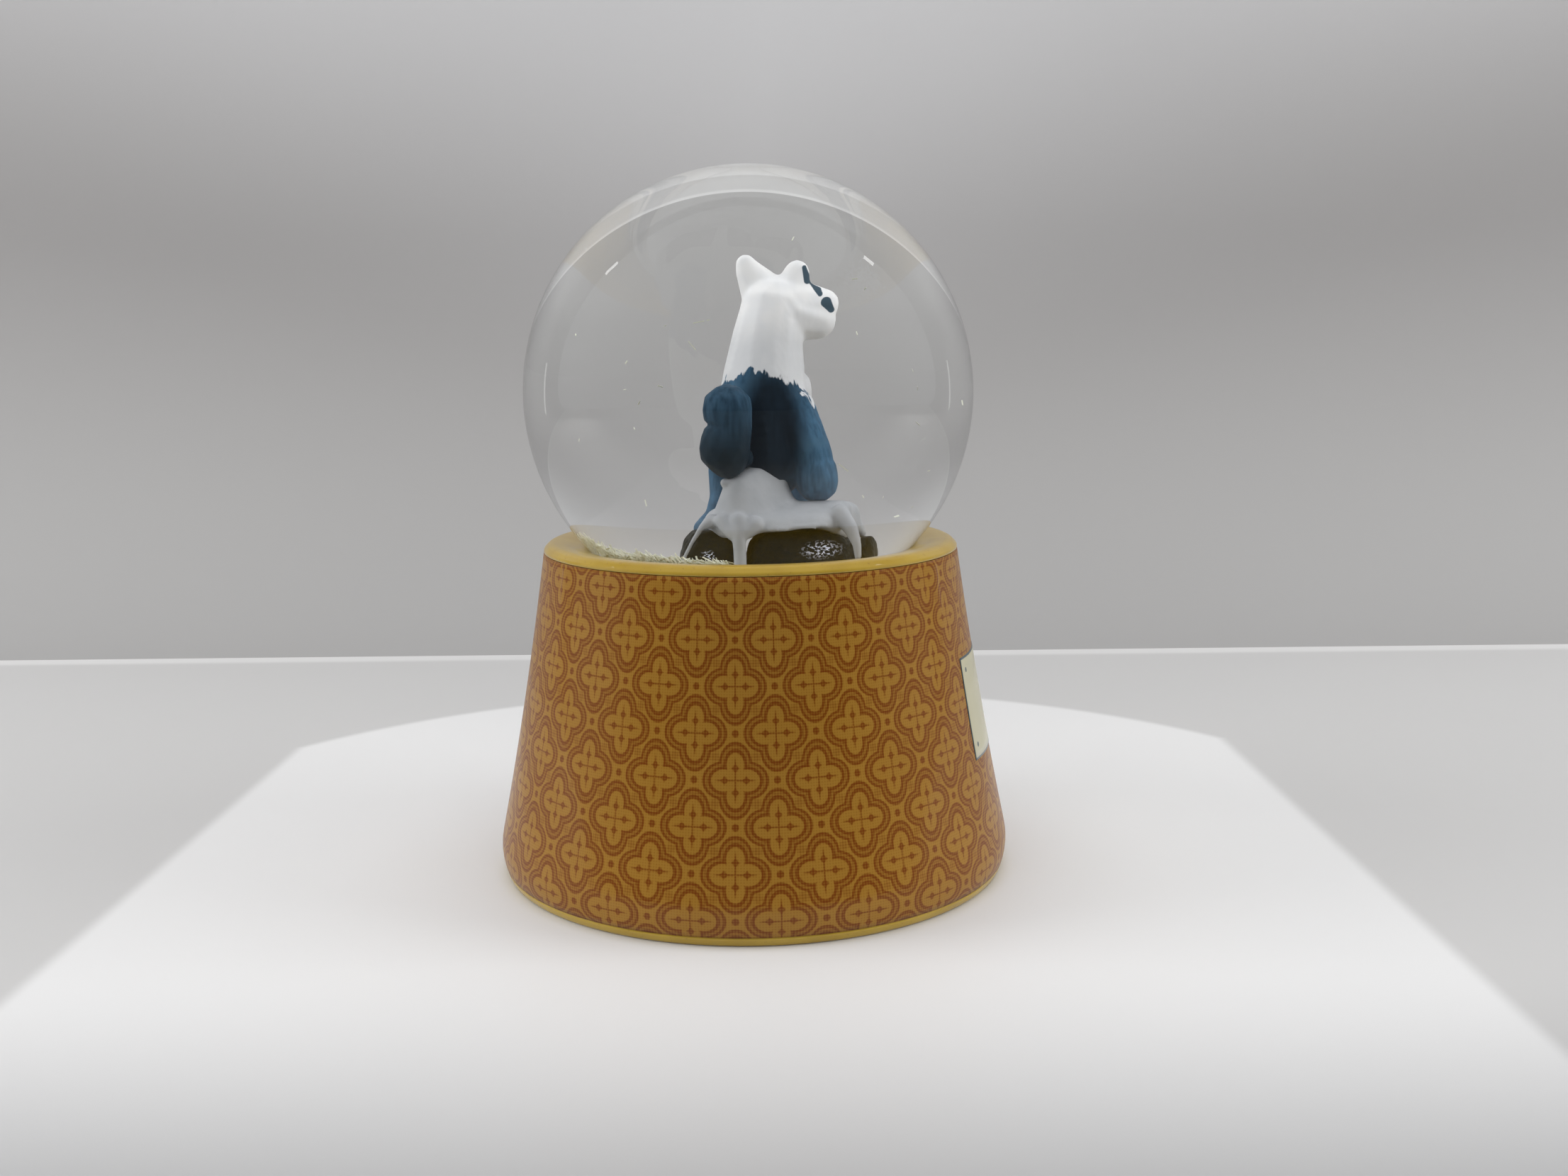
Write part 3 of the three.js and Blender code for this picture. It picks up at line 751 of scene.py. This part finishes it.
def make_snow():
    """Thick paint-like snow over the rocks, with drips down their sides."""
    drips = [
        [(1.2, -3.2, 60.55, 1.5), (3.0, -3.0, 60.5, 1.5)],
        [(-1.2, -8.3, 55.4, 1.2), (-1.25, -8.9, 54.0, 0.92), (-1.15, -9.15, 52.6, 0.84),
         (-1.1, -9.2, 51.0, 0.82), (-1.1, -9.25, 47.8, 0.86)],
        [(0.6, -8.3, 55.0, 1.2), (-0.6, -8.9, 53.9, 0.8)],
        [(-3.2, -7.9, 55.6, 0.9), (-2.0, -8.8, 53.9, 0.8)],
        [(10.4, -6.4, 56.2, 1.2), (11.9, -7.4, 54.2, 0.9), (12.8, -8.1, 52.2, 0.62),
         (13.2, -8.3, 50.2, 0.5)],
        [(-4.3, -6.9, 55.6, 0.9), (-5.5, -7.6, 54.8, 0.4), (-6.7, -8.2, 52.9, 0.3),
         (-8.3, -8.7, 49.8, 0.28)],
        [(-2.7, -6.3, 60.0, 0.62), (-1.6, -5.8, 59.6, 0.9)],
        [(9.6, 6.6, 55.8, 1.1), (10.2, 7.6, 53.6, 0.7), (10.4, 7.9, 51.6, 0.6)],
        [(2.6, 7.8, 55.6, 1.2), (2.6, 8.8, 53.4, 0.75), (2.5, 9.1, 50.4, 0.62)],
        [(-4.6, 4.4, 55.4, 1.0), (-5.8, 5.0, 53.2, 0.6), (-6.4, 5.2, 51.0, 0.5)],
        [(11.0, 1.6, 56.0, 1.0), (12.1, 1.6, 54.4, 0.6)],
    ]
    snow = sculpt("snow_heap", drips, 0.2, 10, shells=[snow_shell()])
    paint = plain("snow_paint", (0.40, 0.415, 0.435), (0.36, 0.375, 0.395), 2.5, 0.55, 0.06, 4.0,
                  specular_ior_level=WET_GLOSS)
    dress(snow, [paint], ["snow_cover"])


# ---------- animal ----------
def slate_blue(paint, x, y, z):
    """Brushed slate blue with pale dust, and dark paint and painted shade in the recess low on the back."""
    streak = paint.noise(0.5, 3, stretch=(1, 1, 0.2))
    blue = paint.mix(paint.step(streak, 0.3, 0.75), (0.060, 0.142, 0.232), (0.035, 0.083, 0.137))
    blue = paint.mix(paint.step(paint.noise(2.6, 2), 0.5, 0.75), blue, (0.062, 0.135, 0.21))
    # Painted shade, partly dark airbrushed paint: the blue darkens in the recess low on the back.
    dx = paint.math("DIVIDE", paint.math("SUBTRACT", x, 2.6), 4.4)
    dz = paint.math("DIVIDE", paint.math("SUBTRACT", z, 65.5), 9.5)
    away = paint.length(dz, dx)
    shade = paint.math("MULTIPLY", paint.less(paint.step(away, 0.5, 1.12)),
                       paint.less(paint.step(y, -1.0, 3.0)))
    blue = paint.mix(paint.math("MULTIPLY", shade, 0.93), blue, (0.0050, 0.0080, 0.0118))
    dust = paint.step(paint.noise(0.16, 1), 0.80, 0.86)
    return paint.mix(paint.math("MULTIPLY", dust, 0.5), blue, (0.3, 0.33, 0.36))


def brushed_mark(paint, x, z, start, end, half_width):
    """1 on a short brush stroke seen from the side, 0 away from it."""
    run = Vector(end) - Vector(start)
    dx = paint.math("SUBTRACT", x, start[0])
    dz = paint.math("SUBTRACT", z, start[1])
    along = paint.math("MULTIPLY_ADD", dx, run.x, paint.math("MULTIPLY", dz, run.y))
    along = paint.limit(paint.math("DIVIDE", along, run.length_squared))
    dx = paint.math("SUBTRACT", dx, paint.math("MULTIPLY", along, run.x))
    dz = paint.math("SUBTRACT", dz, paint.math("MULTIPLY", along, run.y))
    away = paint.length(dz, dx)
    taper = paint.math("SUBTRACT", 1.25, paint.math("MULTIPLY", along, 0.5))
    width = paint.math("MULTIPLY", half_width, taper)
    return paint.less(paint.step(paint.math("SUBTRACT", away, width), -0.05, 0.05))


def coat_paint():
    """White head and ruff over a slate-blue body, split by a brushed edge that dips at the sides, with
    plain dark strokes for inner ear, eye and nose."""
    paint = Paint("coat_paint", roughness=0.5, specular_ior_level=WET_GLOSS)
    x, y, z = paint.millimetres()
    off = paint.math("SUBTRACT", x, 0.9)
    dip = paint.math("MULTIPLY", paint.math("MULTIPLY", off, off), 0.085)
    front = paint.math("MULTIPLY", paint.step(y, -1.0, 5.0), 5.0)
    edge = paint.math("SUBTRACT", 72.2, paint.math("ADD", dip, front))
    for size, stretch, depth in ((0.45, 0.3, 1.4), (1.1, 0.35, 2.3), (2.4, 0.6, 1.6)):
        dabs = paint.noise(size, 2, stretch=(1, 1, stretch))
        edge = paint.math("MULTIPLY_ADD", paint.math("SUBTRACT", dabs, 0.5), depth, edge)
    white = paint.step(paint.math("SUBTRACT", z, edge), -0.08, 0.2)

    cream = paint.mix(paint.step(paint.noise(2.2, 3), 0.35, 0.7), (0.90, 0.90, 0.895), (0.84, 0.85, 0.86))
    # Painted shade: below the head the white is painted darker down the ruff.
    low = paint.mix(paint.noise(0.9, 3, stretch=(1, 1, 0.4)), (0.71, 0.715, 0.72), (0.60, 0.615, 0.635))
    cream = paint.mix(paint.step(z, 74.5, 79.5), low, cream)
    off_middle = paint.step(paint.math("ABSOLUTE", paint.math("SUBTRACT", y, 3.2)), 0.35, 0.55)
    for start, end, half_width in (((6.45, 81.75), (6.1, 83.1), 0.3), ((7.0, 81.6), (7.8, 80.3), 0.34),
                                   ((8.45, 79.4), (8.95, 78.6), 0.45)):
        mark = brushed_mark(paint, x, z, start, end, half_width)
        cream = paint.mix(paint.math("MULTIPLY", mark, off_middle), cream, (0.055, 0.09, 0.12))
    paint.set("Base Color", paint.mix(white, slate_blue(paint, x, y, z), cream))
    paint.bump(paint.noise(0.8, 3, stretch=(1, 1, 0.4)), 0.05, 0.6)
    return paint.material


def tail_paint():
    """The coat's blue, with painted shade darkening the lower lobe."""
    paint = Paint("tail_paint", roughness=0.5, specular_ior_level=WET_GLOSS)
    z = paint.millimetres()[2]
    streak = paint.noise(0.6, 3, stretch=(1, 1, 0.2))
    blue = paint.mix(paint.step(streak, 0.3, 0.75), (0.034, 0.078, 0.125), (0.018, 0.043, 0.072))
    # Painted shade: the lower lobe, below the upper one, is painted darker.
    fall = paint.math("MULTIPLY_ADD", paint.math("SUBTRACT", paint.noise(1.6, 2), 0.5), 2.5, z)
    blue = paint.mix(paint.step(fall, 63.0, 69.5), (0.013, 0.024, 0.034), blue)
    dust = paint.step(paint.noise(0.16, 1), 0.80, 0.86)
    paint.set("Base Color", paint.mix(paint.math("MULTIPLY", dust, 0.35), blue, (0.3, 0.33, 0.36)))
    paint.bump(paint.noise(0.8, 3, stretch=(1, 1, 0.3)), 0.06, 0.6)
    return paint.material


def make_animal():
    """A seated animal seen from behind, its head turned to its right."""
    body = [
        [(2.3, -0.9, 62.4, 4.3), (1.9, 0.0, 66.6, 4.7), (1.55, 0.9, 70.4, 4.85), (1.95, 1.5, 74.6, 4.15),
         (2.6, 2.0, 78.3, 3.65)],
        [(4.0, -0.6, 67.6, 3.5), (6.2, -1.9, 63.4, 2.95), (6.7, -2.0, 62.4, 2.75)],
        [(7.3, -2.4, 60.9, 2.65), (7.55, -2.7, 60.1, 2.5)],
        [(-0.8, 0.4, 65.4, 2.9), (-3.2, 0.4, 61.6, 1.45), (-3.4, -0.2, 58.6, 1.1), (-4.1, -1.2, 56.5, 0.95),
         (-5.3, -2.2, 55.1, 1.0)],
        [(-5.3, -2.2, 55.1, 1.0), (-5.5, -2.8, 54.9, 0.95)],
        [(4.2, 4.0, 70.0, 2.6), (4.9, 6.4, 64.0, 1.8), (5.0, 7.2, 59.2, 1.5), (5.0, 8.0, 58.8, 1.6)],
        [(-0.4, 4.0, 70.0, 2.6), (-0.9, 6.4, 64.0, 1.8), (-1.0, 7.2, 59.2, 1.5), (-1.0, 8.0, 58.8, 1.6)],
        [(1.8, 3.6, 73.6, 3.4), (1.9, 3.8, 69.0, 3.6)],
    ]
    flat = (1, 0.7, 1)
    head = [
        [(2.6, 2.1, 78.9, 3.55), (3.6, 2.4, 78.7, 3.5), (7.3, 3.2, 77.5, 2.2)],
        [(4.6, 2.4, 79.4, 2.7), (8.15, 3.4, 79.1, 1.62)],
        [(1.5, 2.2, 80.6, 2.4, flat), (0.15, 2.25, 82.6, 1.5, flat), (-0.2, 2.3, 83.4, 1.15, flat)],
        [(4.8, 2.3, 80.8, 2.0, (1, 0.75, 1)), (5.3, 2.5, 82.5, 1.4, (1, 0.75, 1))],
    ]
    paint = coat_paint()
    dress(sculpt("animal_skin", body + head, 0.2, 12), [paint], ["wolf_body", "wolf_head"])

    def crease(corner, normal):
        """Groove between the tail's two lobes."""
        depth = 0.3 * math.exp(-((corner.z - 66.5 + 0.15 * (corner.x + 4)) / 0.28) ** 2)
        return corner - normal * depth * (1 - smooth(corner.x, -4.2, -2.6))

    tail = [[(-2.3, -6.7, 68.25, 2.95), (-2.1, -6.9, 66.3, 2.72), (-2.65, -6.9, 63.95, 3.05),
             (-2.3, -6.4, 62.6, 2.2)],
            [(-1.8, -5.6, 63.2, 1.5), (-0.7, -4.6, 62.8, 1.3)]]
    dress(sculpt("tail_skin", tail, 0.2, 4, crease), [tail_paint()], ["wolf_tail"])


# ---------- flakes ----------
def shard(corners, faces, at, size, turn):
    """Adds one thin plate of size (length, width, thickness) to a mesh under way."""
    start = len(corners)
    for k in range(8):
        corner = Vector(((k & 1) - 0.5, (k >> 1 & 1) - 0.5, (k >> 2 & 1) - 0.5))
        corners.append(Vector(at) + turn @ Vector([c * s for c, s in zip(corner, size)]))
    for face in ((0, 2, 3, 1), (4, 5, 7, 6), (0, 1, 5, 4), (2, 6, 7, 3), (0, 4, 6, 2), (1, 3, 7, 5)):
        faces.append([start + i for i in face])


def any_turn(rng):
    """A turn by a random angle about a random axis."""
    axis = Vector((rng.gauss(0, 1), rng.gauss(0, 1), rng.gauss(0, 1))).normalized()
    return Matrix.Rotation(rng.uniform(0, math.tau), 3, axis)


def flake_material():
    """Pale greenish film, clouded."""
    paint = Paint("flake_film", roughness=0.3, specular_ior_level=0.3)
    paint.set("Base Color", paint.mix(paint.noise(1.2, 2), (0.54, 0.56, 0.43), (0.84, 0.85, 0.76)))
    return paint.material


def make_drift(rng, film):
    """Flakes that lie against the glass at the left, and a few beside the left rock."""
    corners, faces = [], []
    for _ in range(1500):
        bearing = rng.uniform(-104, -6)
        top = FLAKES_TOP_Z - 0.3 - 0.9 * smooth(bearing, -45, -10) + 1.7 * (1 - smooth(bearing, -66, -52))
        top += rng.gauss(0, 0.22)
        z = GROUND_TOP_Z + 0.6 + (top - GROUND_TOP_Z - 0.6) * rng.random() ** 0.6
        wall = math.sqrt(BORE_R ** 2 - (BALL_Z - z) ** 2)
        ring = wall - 1.1 - (wall - 18.5) * rng.random() ** 2
        place = Matrix.Rotation(math.radians(bearing), 3, "Z")
        lean = place @ Matrix.Rotation(rng.gauss(0.75, 0.5), 3, "Y")
        lean = lean @ Matrix.Rotation(rng.gauss(0.3, 0.6), 3, "X")
        size = (rng.uniform(0.9, 2.0), rng.uniform(0.12, 0.3), 0.05)
        shard(corners, faces, place @ Vector((0, -ring, z)), size, lean)
    for _ in range(240):
        bearing = math.radians(rng.uniform(-74, -18))
        z = rng.uniform(GROUND_TOP_Z + 0.9, FLAKES_TOP_Z - 0.9)
        ring = math.sqrt(BORE_R ** 2 - (BALL_Z - z) ** 2) - rng.uniform(0.9, 2.2)
        at = (ring * math.sin(bearing), -ring * math.cos(bearing), z)
        shard(corners, faces, at, (rng.uniform(0.8, 1.9), rng.uniform(0.12, 0.24), 0.05), any_turn(rng))
    for _ in range(140):
        at = (rng.uniform(-10.5, -2.5), rng.uniform(-14.5, -10.8), rng.uniform(47.0, 49.2))
        shard(corners, faces, at, (rng.uniform(0.4, 1.0), rng.uniform(0.2, 0.5), 0.06), any_turn(rng))
    drift = new_piece("settled_drift", corners, faces, smooth=False)
    dress(drift, [film], ["settled_flakes"])


def make_drifting_flakes(rng, film):
    """Four longer flakes in front of the animal and small ones beside and behind it."""
    corners, faces = [], []
    for at, length, tilt in (((-5.4, -10, 78.3), 1.3, -10), ((-4.3, -10, 78.5), 0.35, -10),
                             ((-6.2, -14, 75.9), 1.3, 50), ((11.3, -13, 61.5), 1.5, 38)):
        shard(corners, faces, at, (length, 0.05, 0.13), Matrix.Rotation(math.radians(tilt), 3, "Y"))
    for _ in range(26):
        reach, bearing = rng.uniform(12, 24), rng.uniform(-0.4, math.pi + 0.4)
        at = (reach * math.cos(bearing), reach * math.sin(bearing), rng.uniform(56, 88))
        shard(corners, faces, at, (rng.uniform(0.2, 0.7), 0.12, 0.04), any_turn(rng))
    dress(new_piece("drifting_flakes", corners, faces, smooth=False), [film])


def make_flakes():
    """Settled and floating flakes of one film."""
    rng = random.Random(41)
    film = flake_material()
    make_drift(rng, film)
    make_drifting_flakes(rng, film)


# ---------- stage, light and camera ----------
def floor_paint():
    """Pale sheet with straight sides on a darker floor, a painted shadow of the globe arcing behind it,
    and the floor far in front painted dark as the shade of a dim room.
    """
    sheet_half, shadow_arc_reach = 88.0, 109.0
    paint = Paint("pale_floor", roughness=0.55)
    x, y = paint.millimetres()[:2]
    sheet = paint.mix(paint.noise(60, 2), (0.80, 0.797, 0.795), (0.77, 0.77, 0.77))
    # Painted shadow of the globe: behind the globe the darker tone starts on an arc round the globe's axis.
    behind = paint.math("MAXIMUM", y, 0.0)
    into_shadow_arc = paint.math("SUBTRACT", paint.length(behind, x), shadow_arc_reach)
    past_side = paint.math("SUBTRACT", paint.math("ABSOLUTE", x), sheet_half)
    off_sheet_and_shadow_arc = paint.math("MAXIMUM", past_side, into_shadow_arc)
    # Off the sheet the floor is darker, and behind the globe this darker tone is the painted shadow; a
    # paler strip runs along the back edge.
    off_sheet_and_shadow_tone = paint.mix(paint.step(y, 144.0, 148.0), (0.58, 0.575, 0.57), (0.72, 0.715, 0.71))
    paper = paint.mix(paint.step(off_sheet_and_shadow_arc, 0.0, 3.0), sheet, off_sheet_and_shadow_tone)
    # Painted shade: far in front the floor is painted dark, as the shade of the dim room there.
    paint.set("Base Color", paint.mix(paint.step(y, -145.0, -42.0), (0.12, 0.12, 0.125), paper))
    return paint.material


def backdrop_paint():
    """Grey paper with painted light: lighter low down, darker higher up, and a pale glow above the globe.
    """
    paint = Paint("grey_backdrop", roughness=0.9)
    x, z = paint.millimetres()[::2]
    # Painted light: the paper is lighter near the floor and darker higher up.
    paper = paint.mix(paint.step(z, 10.0, 130.0), (0.405, 0.40, 0.395), (0.332, 0.323, 0.32))
    # Painted pool of light: paler paper above the globe.
    rise = paint.math("SUBTRACT", z, paint.math("MULTIPLY", paint.math("ABSOLUTE", x), 0.3))
    paper = paint.mix(paint.step(rise, 40.0, 190.0), paper, (0.69, 0.69, 0.70))
    cloud = paint.math("MULTIPLY", paint.noise(170, 2), 0.3)
    paint.set("Base Color", paint.mix(cloud, paper, (0.375, 0.366, 0.366)))
    return paint.material


def make_stage():
    """A floor with painted shadow and painted shade, and a sweep that rises from its back edge."""
    floor_back, floor_front, width = 152.0, -700, 900.0
    floor = new_piece("floor", [(-width, floor_front, 0), (width, floor_front, 0),
                                (width, floor_back, 0), (-width, floor_back, 0)], [[0, 1, 2, 3]])
    floor.data.materials.append(floor_paint())
    cove, wall_top, steps = 110.0, 1100.0, 20
    line = [(floor_back - 5, -0.5)]
    line += [(floor_back + cove * math.sin(a), cove * (1 - math.cos(a)) - 0.5)
             for a in heights(0, math.pi / 2, steps)]
    line += [(floor_back + cove, wall_top)]
    corners = [(side * width, y, z) for y, z in line for side in (-1, 1)]
    faces = [[2 * i, 2 * i + 1, 2 * i + 3, 2 * i + 2] for i in range(len(line) - 1)]
    sweep = new_piece("backdrop", corners, faces)
    sweep.data.materials.append(backdrop_paint())


def soft_box(name, at, aim, size, power, mirrored=False):
    """An area lamp. Only the mirrored ones are seen as reflections in the glass and the glaze."""
    light = bpy.data.lights.new(name, "AREA")
    light.shape = "RECTANGLE"
    light.size, light.size_y = size[0] * MM, size[1] * MM
    light.energy = power
    lamp = bpy.data.objects.new(name, light)
    bpy.context.scene.collection.objects.link(lamp)
    lamp.location = Vector(at) * MM
    lamp.rotation_euler = (Vector(aim) - Vector(at)).to_track_quat("-Z", "Y").to_euler()
    lamp.visible_camera = False
    lamp.visible_transmission = False
    lamp.visible_glossy = mirrored


def make_world():
    """A bright tent above, behind and beside the globe, and a dim room in front of it."""
    world = bpy.data.worlds.new("tent")
    bpy.context.scene.world = world
    world.use_nodes = True
    nodes, links = world.node_tree.nodes, world.node_tree.links
    place = nodes.new("ShaderNodeTexCoord")
    split = nodes.new("ShaderNodeSeparateXYZ")
    links.new(place.outputs["Generated"], split.inputs[0])
    ramp = nodes.new("ShaderNodeMapRange")
    ramp.interpolation_type = "SMOOTHSTEP"
    links.new(split.outputs["Y"], ramp.inputs["Value"])
    for name, value in (("From Min", -0.75), ("From Max", 0.15), ("To Min", 0.065), ("To Max", 0.385)):
        ramp.inputs[name].default_value = value
    shade = nodes["Background"]
    shade.inputs["Color"].default_value = (0.95, 0.97, 1.0, 1)
    links.new(ramp.outputs["Result"], shade.inputs["Strength"])


def make_light():
    """Hidden soft boxes, and four small mirrored ones that leave glints on the glass and the glaze."""
    soft_box("top_box", (0, 60, 760), (0, 20, 40), (900, 760), TOP_POWER)
    soft_box("front_fill", (-60, -700, 420), (0, 0, 60), (900, 500), FRONT_POWER)
    soft_box("left_fill", (-480, -60, 190), (0, 0, 40), (260, 300), SIDE_POWER)
    soft_box("right_fill", (480, -60, 190), (0, 0, 40), (260, 300), SIDE_POWER)
    soft_box("left_box", (-619, 172, 638), (0, 0, 70), (26, 80), 0.030, mirrored=True)
    soft_box("right_box", (576, 129, 689), (0, 0, 70), (36, 60), 0.034, mirrored=True)
    soft_box("left_strip", (-425, 223, 75), (0, 0, 70), (12, 110), 0.005, mirrored=True)
    soft_box("right_strip", (425, 223, 75), (0, 0, 70), (12, 110), 0.005, mirrored=True)
    view = bpy.context.scene.view_settings
    view.view_transform = "Standard"
    view.look = "None"


def make_camera():
    """Camera at the photograph's viewing angle."""
    data = bpy.data.cameras.new("camera")
    data.sensor_width = CAMERA_FRAME
    data.lens = CAMERA_LENS
    data.clip_start, data.clip_end = 0.01, 20
    camera = bpy.data.objects.new("camera", data)
    bpy.context.scene.collection.objects.link(camera)
    camera.location = Vector(CAMERA_AT) * MM
    pitch = Matrix.Rotation(math.radians(90 - CAMERA_DOWN), 3, "X")
    turn = pitch @ Matrix.Rotation(math.radians(CAMERA_ROLL), 3, "Z")
    camera.rotation_euler = turn.to_euler()
    bpy.context.scene.camera = camera


make_camera()
make_world()
make_light()
make_stage()
make_base()
make_sleeve()
make_label()
make_underside()
make_globe()
make_liquid()
make_closure()
make_ground()
make_rocks()
make_snow()
make_animal()
make_flakes()
